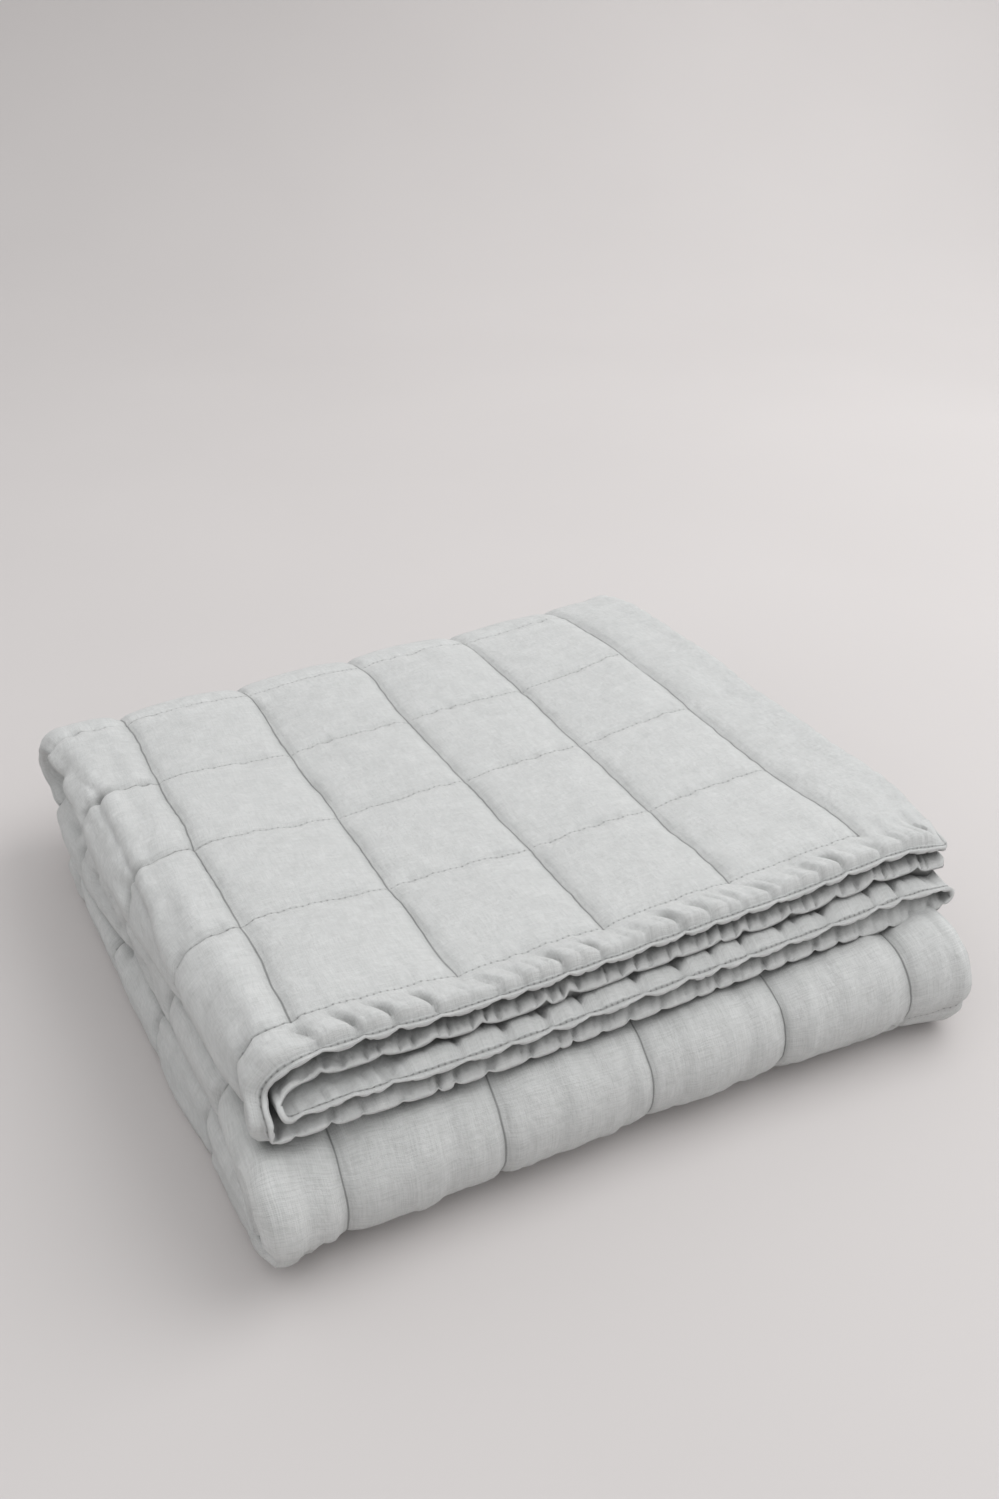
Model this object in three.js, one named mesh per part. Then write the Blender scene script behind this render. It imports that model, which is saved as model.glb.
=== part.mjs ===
// A quilted bedspread, folded in four across its width and then in three along its length.
// Millimetres, +Z up. X runs across the folded strip, and Y from the hems in front to the back fold.
// The cloth is one closed body. A point of it has u across the flat quilt, v along it, and w off
// its middle surface, towards the face that shows on top.
import * as THREE from 'three';

// The flat quilt: its size, and the squares that its seams make
const width = 2600;
const length = 1800;
const column = 127.6;
const row = 123.2;
const columns = 19;
const rows = 14;
const sideBorder = (width - columns * column) / 2;
const endBorder = (length - rows * row) / 2;
const seamAt = {
  across: (index) => sideBorder + index * column,
  along: (index) => endBorder + index * row,
};

// The layers: how thick the padded cloth is, how far apart two layers lie, and the whole stack
const thickness = 11.4;
const pitch = 12.8;
const packGap = 1.5;
const stackHeight = 168;
const half = thickness / 2;

// The relief: how far a face lies off the middle surface at a seam, and how wide a seam's slope is.
// The back is plain, and lies off it the other way.
const seamLevel = 2.4;
const slopeShare = 0.2;
const backOut = 4.6;

// A hem: where its thin edge lies off the middle surface, and how far in the padding is full
const edgeFace = 2.4;
const edgeBack = 0.6;
const edgeFull = 20;
const flange = 5;

// The front: where the top hems lie, how far the two lower layers reach past the two upper ones,
// and the hollow between them, which closes before the back fold
const hemY = -endBorder;
const lowerLead = 16;
const hollow = 15;
const hollowShut = { from: 250, to: 480 };

// The back fold starts here, and is drawn out past a round bend by this much, more on its outside
const backY = 474;
const backDraw = { inside: 40, outside: 50 };

// The right side: both free edges of the quilt, and the fold of the two lower layers
const freeX = 5 * column + sideBorder;
const rightFoldX = 720;
const rightFoldStart = 1309;

// The fold between the two inner layers, as it lies across the quilt
const innerFold = { start: 1944, end: 1980 };

// The left side: where the outer fold lies at each length along the quilt
const leftSide = [
  { along: 0, x: 79 },
  { along: 160, x: 72 },
  { along: 400, x: 57 },
  { along: 560, x: 48 },
  { along: 760, x: 50 },
  { along: 1010, x: 66 },
  { along: 1150, x: 68 },
  { along: 1300, x: 66 },
  { along: 1500, x: 58 },
  { along: 1800, x: 50 },
];

// The front fold, which bulges out under the hems: where it starts at each place across
const frontSide = [
  { across: 62, y: -8 },
  { across: 95, y: -18 },
  { across: 720, y: -37 },
];

// How layers slip past each other in the folds: the height in the pack that sets a layer's way round
const slip = [
  { across: 0, height: 3 * pitch },
  { across: 660, height: 1.5 * pitch },
  { across: 1319, height: 0.5 * pitch },
  { across: 1965, height: 1.5 * pitch },
  { across: 2600, height: 2 * pitch },
];

// The long soft waves of the stack, as a share of each point's height
const waves = [
  { share: 0.006, acrossLength: 760, alongLength: 900, shift: 0.4 },
  { share: 0.004, acrossLength: 520, alongLength: -640, shift: 2.1 },
];

// The stack's middle, which the part is set around
const centre = { x: 387, y: 247.6 };

// Levels in the folded stack. A layer's height in its pack is counted from the lowest layer's
// middle surface when the pack lies as the top one does, with the quilt's face up.
const topLevel = stackHeight - half - 3 * pitch;
const layerSeat = packGap / 2 + half;
const lowerJoint = thickness + 3 * pitch + packGap / 2;
const upperJoint = lowerJoint + 2 * layerSeat + 3 * pitch;

function clamp01(value) {
  return Math.min(1, Math.max(0, value));
}

function smooth(from, to, value) {
  const t = clamp01((value - from) / (to - from));
  return t * t * (3 - 2 * t);
}

function mix(a, b, share) {
  return a + (b - a) * share;
}

// A value read off a table, straight between its rows
function read(table, key, name, at) {
  let index = 0;
  while (index < table.length - 2 && at > table[index + 1][key]) {
    index += 1;
  }
  const a = table[index];
  const b = table[index + 1];
  return mix(a[name], b[name], clamp01((at - a[key]) / (b[key] - a[key])));
}

// How wide the hollow between the upper and the lower two layers is
function hollowAt(v) {
  return hollow * (1 - smooth(hollowShut.from, hollowShut.to, v));
}

// A quarter of an ellipse's outline, by Ramanujan's formula
function quarterLength(a, b) {
  return Math.PI / 4 * (3 * (a + b) - Math.sqrt((3 * a + b) * (a + 3 * b)));
}

// The way out from a curve, as a unit normal
function unit(x, q) {
  const size = Math.hypot(x, q);
  return { x: x / size, q: q / size };
}

// The four-layer section of the strip at v: where u lies across, its height q in the pack, and
// the direction in which the quilt's face looks
function section(u, v) {
  const gap = hollowAt(v);
  const open = gap / hollow;
  const crestX = read(leftSide, 'along', 'x', v) + half;
  const high = { a: mix(1.5 * pitch, 38, open), b: 1.5 * pitch + 0.75 * gap };
  const low = { a: mix(1.5 * pitch, 21, open), b: 1.5 * pitch + 0.25 * gap };
  const foldStart = freeX - crestX - high.a;
  const highArc = quarterLength(high.a, high.b);
  const lowArc = quarterLength(low.a, low.b);
  const foldEnd = foldStart + highArc + lowArc;
  const rightX = rightFoldX - half - pitch / 2;
  const rightArc = Math.PI * pitch / 2;

  if (u <= foldStart) {
    return { x: freeX - u, q: 3 * pitch + gap, normal: { x: 0, q: 1 } };
  }
  if (u <= foldStart + highArc) {
    const turn = Math.PI / 2 * (u - foldStart) / highArc;
    return {
      x: crestX + high.a * (1 - Math.sin(turn)),
      q: low.b + high.b * Math.cos(turn),
      normal: unit(-Math.sin(turn) / high.a, Math.cos(turn) / high.b),
    };
  }
  if (u <= foldEnd) {
    const turn = Math.PI / 2 * (u - foldStart - highArc) / lowArc;
    return {
      x: crestX + low.a * (1 - Math.cos(turn)),
      q: low.b * (1 - Math.sin(turn)),
      normal: unit(-Math.cos(turn) / low.a, -Math.sin(turn) / low.b),
    };
  }
  if (u <= rightFoldStart) {
    const share = (u - foldEnd) / (rightFoldStart - foldEnd);
    return { x: mix(crestX + low.a, rightX, share), q: 0, normal: { x: 0, q: -1 } };
  }
  if (u <= rightFoldStart + rightArc) {
    const turn = Math.PI * (u - rightFoldStart) / rightArc;
    return {
      x: rightX + pitch / 2 * Math.sin(turn),
      q: pitch / 2 * (1 - Math.cos(turn)),
      normal: { x: Math.sin(turn), q: -Math.cos(turn) },
    };
  }

  // The inner fold, nested in the outer one
  const innerX = crestX + pitch + 2;
  const under = { a: low.a - pitch, b: low.b - pitch };
  const over = { a: high.a - pitch, b: high.b - pitch };
  if (u <= innerFold.start) {
    const share = (u - rightFoldStart - rightArc) / (innerFold.start - rightFoldStart - rightArc);
    return { x: mix(rightX, innerX + under.a, share), q: pitch, normal: { x: 0, q: 1 } };
  }
  const innerTurn = Math.PI * (u - innerFold.start) / (innerFold.end - innerFold.start);
  if (innerTurn <= Math.PI / 2) {
    return {
      x: innerX + under.a * (1 - Math.sin(innerTurn)),
      q: pitch + under.b * (1 - Math.cos(innerTurn)),
      normal: unit(Math.sin(innerTurn) / under.a, Math.cos(innerTurn) / under.b),
    };
  }
  if (innerTurn <= Math.PI) {
    return {
      x: innerX + over.a * (1 - Math.sin(innerTurn)),
      q: pitch + under.b - over.b * Math.cos(innerTurn),
      normal: unit(Math.sin(innerTurn) / over.a, Math.cos(innerTurn) / over.b),
    };
  }
  const share = (u - innerFold.end) / (width - innerFold.end);
  return { x: mix(innerX + over.a, freeX, share), q: 2 * pitch + gap, normal: { x: 0, q: -1 } };
}

// The strip's way: top third, back fold, middle third, front fold and lowest third
function sweep(x, q, slipHeight, v) {
  const gap = hollowAt(v);
  const lead = lowerLead * (1 - smooth(pitch, 2 * pitch + gap, q));
  const frontY = read(frontSide, 'across', 'y', x);
  const share = slipHeight / (3 * pitch);
  const draw = mix(backDraw.inside, backDraw.outside, share);
  const topDepth = topLevel - upperJoint;
  const meanDepth = (topDepth + layerSeat) / 2;
  const backWay = 2 * quarterLength(meanDepth + slipHeight + draw, meanDepth + slipHeight);
  const frontReach = layerSeat + 3 * pitch - slipHeight;
  const frontWay = Math.PI * frontReach;

  let way = v - (backY - hemY + lead);
  if (way <= 0) {
    return { y: backY + way, z: topLevel - gap + q };
  }
  if (way <= backWay) {
    const turn = Math.PI * way / backWay;
    const depth = mix(topDepth, layerSeat, turn / Math.PI) + q;
    return { y: backY + (depth + draw) * Math.sin(turn), z: upperJoint + depth * Math.cos(turn) };
  }
  way -= backWay;
  if (way <= backY - frontY) {
    return { y: backY - way, z: upperJoint - layerSeat - q };
  }
  way -= backY - frontY;
  if (way <= frontWay) {
    const turn = Math.PI * way / frontWay;
    const reach = layerSeat + 3 * pitch - q;
    return { y: frontY - reach * Math.sin(turn), z: lowerJoint + reach * Math.cos(turn) };
  }
  way -= frontWay;
  return { y: frontY + way, z: lowerJoint - layerSeat - 3 * pitch + q };
}

// How full the padding is, from 0 at a seam to 1 past its slope
function fullness(at, border, step, count, total) {
  const nearest = Math.min(Math.max(Math.round((at - border) / step), 0), count);
  const fromSeam = Math.abs(at - border - nearest * step);
  const fromEdge = Math.min(at, total - at);
  return clamp01(Math.min(fromSeam / (slopeShare * step), fromEdge / edgeFull));
}

// How far the padding has filled out from the nearest hem
function edgeShare(u, v) {
  return clamp01(Math.min(u, width - u, v, length - v) / edgeFull);
}

// The face's relief, and the back, which is plain
function faceLevel(u, v) {
  const across = fullness(u, sideBorder, column, columns, width);
  const along = fullness(v, endBorder, row, rows, length);
  return mix(Math.min(seamLevel, edgeFace), half, Math.min(across, along));
}

function backLevel(u, v) {
  return mix(edgeBack, -backOut, edgeShare(u, v));
}

// The stack's unevenness, as a share of the height
function waveAt(x, y) {
  let sum = 0;
  for (const wave of waves) {
    const turn = 2 * Math.PI * (x / wave.acrossLength + y / wave.alongLength) + wave.shift;
    sum += wave.share * Math.sin(turn);
  }
  return sum;
}

// A point of the folded cloth, in the part's own frame
function place(u, v, w) {
  const at = section(u, v);
  const x = at.x + w * at.normal.x;
  const q = at.q + w * at.normal.q;
  const { y, z } = sweep(x, q, read(slip, 'across', 'height', u), v);
  return new THREE.Vector3(x - centre.x, y - centre.y, z * (1 + waveAt(x, y)));
}

// Where the mesh has its lines. Over whole squares they lie at some shares of each square, from its
// seam on, and elsewhere at even steps. A padded square needs its seam and the tops of its slopes.
const padded = [0, slopeShare, 1 - slopeShare];
const peaked = [0, 0.5];
const plain = [0.5];
const faceZones = [
  { from: seamAt.across(0), to: seamAt.across(4), shares: padded },
  { from: seamAt.across(4), to: seamAt.across(5), step: 14.2 },
  { from: seamAt.across(5), to: seamAt.across(9), shares: padded },
  { from: seamAt.across(9), to: seamAt.across(9) + 40, step: 40 },
  { from: rightFoldStart - 8, to: rightFoldStart + 28, step: 6 },
  { from: seamAt.across(10), to: seamAt.across(14), shares: plain },
  { from: seamAt.across(14), to: innerFold.start, step: 70 },
  { from: innerFold.start, to: innerFold.end, step: 7.2 },
  { from: seamAt.across(15), to: seamAt.across(19), shares: plain },
];
const backZones = [
  { from: seamAt.across(0), to: seamAt.across(4), shares: plain },
  { from: seamAt.across(4), to: seamAt.across(5), step: 15.9 },
  { from: seamAt.across(5), to: seamAt.across(9), shares: plain },
  { from: rightFoldStart - 8, to: rightFoldStart + 28, step: 9 },
  { from: seamAt.across(10), to: seamAt.across(14), shares: plain },
  { from: innerFold.start, to: innerFold.end, step: 7.2 },
  { from: seamAt.across(15), to: seamAt.across(19), shares: plain },
];
const alongZones = [
  { from: seamAt.along(0), to: seamAt.along(4), shares: padded },
  { from: seamAt.along(4), to: seamAt.along(6), step: 24.6 },
  { from: seamAt.along(6), to: seamAt.along(9), shares: peaked },
  { from: seamAt.along(9), to: seamAt.along(10), step: 15.4 },
  { from: seamAt.along(10), to: seamAt.along(10) + 24.64, step: 8.2 },
  { from: seamAt.along(10), to: seamAt.along(14), shares: padded },
];

function meshLines(total, step, zones, hem) {
  const lines = [0, total];
  for (const inward of hem) {
    lines.push(inward, total - inward);
  }
  for (const { from, to, shares, step: even } of zones) {
    if (shares) {
      for (let square = from; square < to - 1; square += step) {
        for (const share of shares) {
          lines.push(square + share * step);
        }
      }
    } else {
      const count = Math.round((to - from) / even);
      for (let index = 0; index <= count; index += 1) {
        lines.push(mix(from, to, index / count));
      }
    }
  }
  lines.sort((a, b) => a - b);
  return lines.filter((at, index) => index === 0 || at - lines[index - 1] > 2);
}

// The closed body: a ring of points round the cloth at each v, and a cap at each end
function quiltGeometry() {
  const faceLines = meshLines(width, column, faceZones, [flange, edgeFull]);
  const backLines = meshLines(width, column, backZones, [edgeFull]);
  const along = meshLines(length, row, alongZones, [flange, edgeFull]);
  const ring = faceLines.length + backLines.length;
  const positions = [];
  const index = [];

  for (const v of along) {
    for (const u of faceLines) {
      positions.push(...place(u, v, faceLevel(u, v)).toArray());
    }
    for (const u of [...backLines].reverse()) {
      positions.push(...place(u, v, backLevel(u, v)).toArray());
    }
  }
  for (let line = 0; line < along.length - 1; line += 1) {
    for (let side = 0; side < ring; side += 1) {
      const next = (side + 1) % ring;
      const a = line * ring + side;
      const b = line * ring + next;
      index.push(a, a + ring, b, b, a + ring, b + ring);
    }
  }
  addCap(index, faceLines, backLines, 0, true);
  addCap(index, faceLines, backLines, (along.length - 1) * ring, false);

  const geometry = new THREE.BufferGeometry();
  geometry.setAttribute('position', new THREE.Float32BufferAttribute(positions, 3));
  geometry.setIndex(index);
  geometry.computeVertexNormals();
  return geometry;
}

// A cap joins the face's points to the back's, which are fewer, working along both from u = 0
function addCap(index, faceLines, backLines, start, flip) {
  const back = (at) => start + faceLines.length + backLines.length - 1 - at;
  let face = 0;
  let rear = 0;
  while (face < faceLines.length - 1 || rear < backLines.length - 1) {
    const faceNext = faceLines[face + 1] ?? Infinity;
    const rearNext = backLines[rear + 1] ?? Infinity;
    const stepFace = faceNext <= rearNext;
    const third = stepFace ? start + face + 1 : back(rear + 1);
    const triangle = [start + face, back(rear), third];
    index.push(...(flip ? triangle.reverse() : triangle));
    if (stepFace) {
      face += 1;
    } else {
      rear += 1;
    }
  }
}

const linen = new THREE.MeshStandardMaterial({ color: 0xc3c7c1, roughness: 0.95, metalness: 0 });
const quilt = new THREE.Mesh(quiltGeometry(), linen);
quilt.name = 'quilt';

const bedspread = new THREE.Group();
bedspread.add(quilt);

export default bedspread;
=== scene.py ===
import math

import bmesh
import bpy
from bpy.props import FloatProperty, FloatVectorProperty, IntProperty, PointerProperty
from mathutils import Matrix, Vector, noise


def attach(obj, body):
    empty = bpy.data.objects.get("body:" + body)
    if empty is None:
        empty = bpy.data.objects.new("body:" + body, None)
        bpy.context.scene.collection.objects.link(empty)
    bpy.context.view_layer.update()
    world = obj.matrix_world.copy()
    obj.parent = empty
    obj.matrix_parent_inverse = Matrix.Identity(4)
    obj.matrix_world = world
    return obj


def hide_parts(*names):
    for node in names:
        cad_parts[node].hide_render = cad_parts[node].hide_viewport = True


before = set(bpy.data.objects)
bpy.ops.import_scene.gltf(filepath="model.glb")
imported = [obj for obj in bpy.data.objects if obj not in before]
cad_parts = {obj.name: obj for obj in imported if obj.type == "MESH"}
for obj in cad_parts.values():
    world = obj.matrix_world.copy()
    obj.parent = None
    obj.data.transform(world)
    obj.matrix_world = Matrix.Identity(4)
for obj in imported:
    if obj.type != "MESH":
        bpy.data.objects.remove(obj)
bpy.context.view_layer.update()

bl_info = {
    "name": "Folded quilted bedspread",
    "version": (1, 0, 0),
    "blender": (4, 5, 0),
    "location": "3D View > Sidebar > Bedspread",
    "description": "A padded linen bedspread, stitched in squares and folded into a flat stack",
    "category": "Object",
}


# Sizes and colours

class QuiltSizes(bpy.types.PropertyGroup):
    """The flat quilt and the squares that its seams make"""

    width: FloatProperty(name="Width", description="Flat size across the strip", default=2.6, unit="LENGTH")
    length: FloatProperty(name="Length", description="Flat size along the strip", default=1.8, unit="LENGTH")
    column: FloatProperty(name="Column", description="Width of one square", default=0.1276, unit="LENGTH")
    row: FloatProperty(name="Row", description="Length of one square", default=0.1232, unit="LENGTH")
    columns: IntProperty(name="Columns", description="Squares across", default=19)
    rows: IntProperty(name="Rows", description="Squares along", default=14)
    thickness: FloatProperty(name="Thickness", description="Padded cloth", default=0.0114, unit="LENGTH")
    flange: FloatProperty(name="Flange", description="From the edge to the topstitch", default=0.0042, unit="LENGTH")


class StackSizes(bpy.types.PropertyGroup):
    """How the quilt is folded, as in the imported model"""

    height: FloatProperty(name="Height", description="The stack's height", default=0.168, unit="LENGTH")
    pitch: FloatProperty(name="Pitch", description="From one layer to the next", default=0.0128, unit="LENGTH")
    pack_gap: FloatProperty(name="Pack gap", description="Between two thirds", default=0.0015, unit="LENGTH")
    lead: FloatProperty(
        name="Lead", description="How far the lower two hems reach past the upper two", default=0.016, unit="LENGTH")
    hollow: FloatProperty(
        name="Hollow", description="Between the upper and the lower two layers", default=0.007, unit="LENGTH")
    back_fold: FloatProperty(
        name="Back fold", description="Where the back fold starts", default=0.474, unit="LENGTH")
    draw_inside: FloatProperty(
        name="Draw inside", description="The back fold's reach, on its inside", default=0.040, unit="LENGTH")
    draw_outside: FloatProperty(
        name="Draw outside", description="The same on its outside", default=0.050, unit="LENGTH")
    right_fold: FloatProperty(
        name="Right fold", description="The fold of the two lower layers", default=0.720, unit="LENGTH")
    right_start: FloatProperty(
        name="Right fold starts", description="At this place across", default=1.309, unit="LENGTH")
    inner_start: FloatProperty(
        name="Inner fold starts", description="At this place across", default=1.944, unit="LENGTH")
    inner_end: FloatProperty(
        name="Inner fold ends", description="At this place across", default=1.980, unit="LENGTH")


class ReliefSizes(bpy.types.PropertyGroup):
    """The cloth's own unevenness"""

    seam_depth: FloatProperty(
        name="Seam depth", description="Seams along the strip", default=0.0048, unit="LENGTH")
    seam_width: FloatProperty(
        name="Seam width", description="Half width of their valley", default=0.0065, unit="LENGTH")
    cross_depth: FloatProperty(
        name="Cross seam depth", description="Seams across the strip", default=0.0025, unit="LENGTH")
    cross_width: FloatProperty(
        name="Cross seam width", description="Half width of their valley", default=0.0042, unit="LENGTH")
    bulge: FloatProperty(name="Bulge", description="How far a square bulges", default=0.0046, unit="LENGTH")
    wrinkle: FloatProperty(name="Wrinkles", description="Broad soft wrinkles", default=0.0018, unit="LENGTH")
    crumple: FloatProperty(
        name="Crumple", description="Small wrinkles of washed linen", default=0.00028, unit="LENGTH")
    pucker: FloatProperty(name="Puckers", description="Beside the seams", default=0.0011, unit="LENGTH")
    gather: FloatProperty(
        name="Gathers", description="Depth of the hem's creases, as a share of the table's", default=1.0)
    sink: FloatProperty(
        name="Sink", description="How far the cross seams pull the folded side in", default=0.0022, unit="LENGTH")
    wander: FloatProperty(name="Wander", description="How far a seam crossing strays", default=0.0022, unit="LENGTH")
    round: FloatProperty(name="Round", description="Radius of the hem's corners", default=0.016, unit="LENGTH")
    stitch: FloatProperty(name="Stitch", description="From one stitch to the next", default=0.0052, unit="LENGTH")


class LinenLook(bpy.types.PropertyGroup):
    """Colours and scales of the linen, how dark its painted shade gets in creases, needle holes and folds, and the
    floor's colour
    """

    cloth: FloatVectorProperty(
        name="Cloth", description="Washed linen", subtype="COLOR", size=3, default=(0.606, 0.615, 0.608))
    pale: FloatVectorProperty(
        name="Pale", description="Worn high places", subtype="COLOR", size=3, default=(0.698, 0.706, 0.699))
    # The deep colour serves the thick yarns and specks, and also the painted shade in creases, needle holes and deep
    # folds
    deep: FloatVectorProperty(
        name="Deep", description="Creases and thick yarns", subtype="COLOR", size=3, default=(0.458, 0.467, 0.458))
    floor: FloatVectorProperty(
        name="Floor", description="Warm grey paper", subtype="COLOR", size=3, default=(0.570, 0.545, 0.537))
    yarn: FloatProperty(name="Yarn", description="From one yarn to the next", default=0.00062, unit="LENGTH")
    weave_height: FloatProperty(
        name="Weave height", description="How far the yarns stand up", default=0.00036, unit="LENGTH")
    crinkle_height: FloatProperty(
        name="Crinkle height", description="How far the finest wrinkles stand up", default=0.00190, unit="LENGTH")
    crease_depth: FloatProperty(
        name="Crease depth", description="Of a seam's line", default=0.00050, unit="LENGTH")
    hole_depth: FloatProperty(
        name="Hole depth", description="Of a needle hole", default=0.00070, unit="LENGTH")
    # Painted shade in a seam's line and in a needle hole: how dark each gets
    painted_crease_shade: FloatProperty(name="Crease shade", description="How dark a seam's line is", default=0.78)
    painted_hole_shade: FloatProperty(name="Hole shade", description="How dark a needle hole is", default=0.60)
    # Painted shade in the deep folds: how dark it gets, and how near other cloth must lie for it
    painted_fold_shade: FloatProperty(name="Fold shade", description="How dark the deepest fold is", default=0.90)
    painted_fold_shade_reach: FloatProperty(
        name="Fold reach", description="How near other cloth shades a fold", default=0.014, unit="LENGTH")
    specular: FloatProperty(name="Specular", description="Shine of the yarns", default=0.22)
    sheen: FloatProperty(name="Sheen", description="Shine of the fuzz", default=0.18)
    sheen_spread: FloatProperty(name="Sheen spread", description="How broad that shine is", default=0.55)


# The stack's own outline, in metres, in the frame of the fold's tables: how far out the left side
# lies, along the strip, and where the front fold begins, across it

LEFT_SIDE = [
    (0.000, 0.084), (0.160, 0.074), (0.400, 0.055), (0.560, 0.044), (0.760, 0.048),
    (1.010, 0.071), (1.150, 0.073), (1.300, 0.071), (1.500, 0.061), (1.800, 0.050),
]
FRONT_SIDE = [
    (0.062, -0.034), (0.085, -0.034), (0.140, -0.027), (0.400, -0.032), (0.600, -0.042),
    (0.680, -0.054), (0.720, -0.062),
]

# A layer's height in the pack, in layers, by the place across the quilt: it sets the layer's way
# round the back fold and the front fold
SLIP = [(0.0, 3.0), (0.660, 1.5), (1.319, 0.5), (1.965, 1.5), (2.6, 2.0)]

# Slow waves of the stack's height: their share, their lengths across and along, and their shift
WAVES = [(0.006, 0.760, 0.900, 0.4), (0.004, 0.520, -0.640, 2.1)]

# The stack's middle in the fold's tables, where the part's origin is
CENTRE = (0.387, 0.2476)

# How gently the underside meets the floor
FLOOR_EASE = 0.0006

# Where the reverse side starts on the cloth's coordinates, past the face
REVERSE_AT = 4.0

# Where the hollow between the layers closes, along the strip. While it is open, the outer left fold
# has these reaches above and below, and the two share the hollow's height.
HOLLOW_SHUT = (0.250, 0.480)
HOLLOW_REACH = (0.038, 0.021)
HOLLOW_SHARE = (0.75, 0.25)

# The gap between the outer and the inner left fold
INNER_GAP = 0.002

# The open eye at the left end of the back fold: how far the inner layers are drawn in there, how far
# across that fades out, along which part of the strip, and over which layers of the pack
EYE = (0.040, 0.170)
EYE_SPAN = (0.440, 0.520, 0.620, 0.700)
EYE_LAYERS = (0.9, 2.1)

# The trough that runs along the outer left fold: its place across the quilt and its depth, along the
# strip, and its half width
TROUGH = [
    (0.000, 0.676), (0.170, 0.670), (0.220, 0.653), (0.300, 0.648), (0.420, 0.653), (0.500, 0.668),
    (0.740, 0.700), (0.820, 0.684), (0.890, 0.668), (1.000, 0.664), (1.150, 0.660), (1.800, 0.652),
]
TROUGH_DEPTH = [
    (0.080, 0.001), (0.180, 0.004), (0.240, 0.007), (0.400, 0.007), (0.460, 0.004), (0.700, 0.003),
    (0.780, 0.007), (0.960, 0.007), (1.060, 0.002), (1.400, 0.003), (1.600, 0.006), (1.800, 0.004),
]
TROUGH_WIDTH = 0.0052

# How the trough strays across: how far, its wave's length and its seed. How its depth varies: the
# even share, the uneven share, the wave's length and its seed.
TROUGH_STRAY = (0.003, 0.06, 16.0)
TROUGH_UNEVEN = (0.85, 0.35, 0.060, 17.0)

# The pinch where a cross seam meets the trough: its depth and its reach along and across
TROUGH_PINCH = (0.0036, 0.0050, 0.012)

# The outer left fold, or wall: its span across the quilt, how far in from the hem its creases start,
# and the half width of the dent that a cross seam makes in it
WALL_SPAN = (0.575, 0.615, 0.700, 0.740)
WALL_START = 0.02
SINK_WIDTH = 0.0055

# Small deep pinches in the outer left fold
PINCHES = [
    # across, along, reach across, reach along, depth
    (0.676, 0.486, 0.008, 0.012, 0.006), (0.684, 0.636, 0.010, 0.015, 0.008),
    (0.686, 0.440, 0.009, 0.018, 0.009), (0.700, 0.740, 0.008, 0.015, 0.008),
    (0.684, 0.821, 0.006, 0.008, 0.006), (0.688, 0.867, 0.006, 0.008, 0.006),
    (0.652, 1.614, 0.006, 0.008, 0.006),
]

# The open mouths of the folds in front, where the padding is thin: the middle of each across the
# quilt, its reach across and its depth along the strip. The last is thin on its inside alone. Then
# the cloth's two sides there, and how much tighter the inner left fold lies, and as far as where.
MOUTHS = [(1.962, 0.120, 0.120), (1.322, 0.034, 0.070), (0.665, 0.060, 0.120)]
MOUTH_FACE = 0.0012
MOUTH_BACK = 0.0022
MOUTH_TIGHT = 0.0060
MOUTH_SPAN = (0.02, 0.12)

# How sharply the outer left fold turns at its foot: the turn's radius, along the strip
FOOT = [
    (0.000, 0.003), (0.120, 0.006), (0.400, 0.009), (0.700, 0.014), (1.050, 0.012),
    (1.160, 0.010), (1.210, 0.0035), (1.310, 0.003), (1.450, 0.007), (1.800, 0.010),
]

# How the free edges and the right fold creep sideways from the first third to the front fold: the
# free edges' shift, the place across the quilt where the right fold starts, and its own shift
CREEP = (0.500, 1.100)
CREEP_BY = (-0.005, -0.025, -0.019)

# Where the cloth strays from the even stack: the middle and the reach of each place, the top layer's
# shift across and along, its rise, and the rise of all four layers
STRAYS = [
    # x, along, reach x, reach along, across, back, top, all
    (0.110, 0.000, 0.110, 0.160, 0.000, 0.000, 0.000, 0.009),
    (0.128, 0.220, 0.090, 0.200, 0.000, 0.000, 0.006, 0.000),
    (0.255, 0.350, 0.080, 0.160, 0.000, 0.000, -0.006, 0.000),
    (0.660, 0.060, 0.070, 0.100, 0.006, 0.000, 0.008, 0.000),
    (0.745, 0.000, 0.060, 0.060, -0.006, 0.000, -0.012, 0.000),
    (0.660, 0.400, 0.080, 0.160, 0.000, 0.010, 0.008, 0.002),
    (0.700, 1.120, 0.060, 0.110, 0.000, 0.000, 0.000, 0.009),
    (0.075, 1.300, 0.035, 0.055, 0.000, 0.000, 0.000, 0.008),
]

# The gathers of the front hem, layer by layer: where the layer is across the quilt, from one crease
# to the next, their depth and reach, how far they curve sideways, and how far the edge is bitten up
# at the deeper ones
HEMS = [
    # from, to, period, depth, reach, curve, bite period, bite
    (0.000, 0.640, 0.034, 0.0092, 0.037, 0.62, 0.034, 0.0016),
    (0.640, 1.330, 0.026, 0.0078, 0.026, 0.35, 0.026, 0.0040),
    (1.330, 1.950, 0.040, 0.0100, 0.036, 0.20, 0.040, 0.0016),
    (1.950, 2.600, 0.014, 0.0060, 0.026, 0.25, 0.042, 0.0074),
]
OTHER_EDGES = (0.000, 3.000, 0.024, 0.0022, 0.030, 0.25, 0.024, 0.0000)

# Where gathers are: up to this far from the edge, from the topstitch on, in full up to this share of
# their reach, and fading towards a corner and towards a row's two ends
GATHER_END = 0.05
GATHER_START = (-0.001, 0.003)
GATHER_FULL = 0.45
GATHER_CORNER = (0.006, 0.036)
ROW_FADE = 0.02
ROW_FADE_START = 0.03

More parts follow.
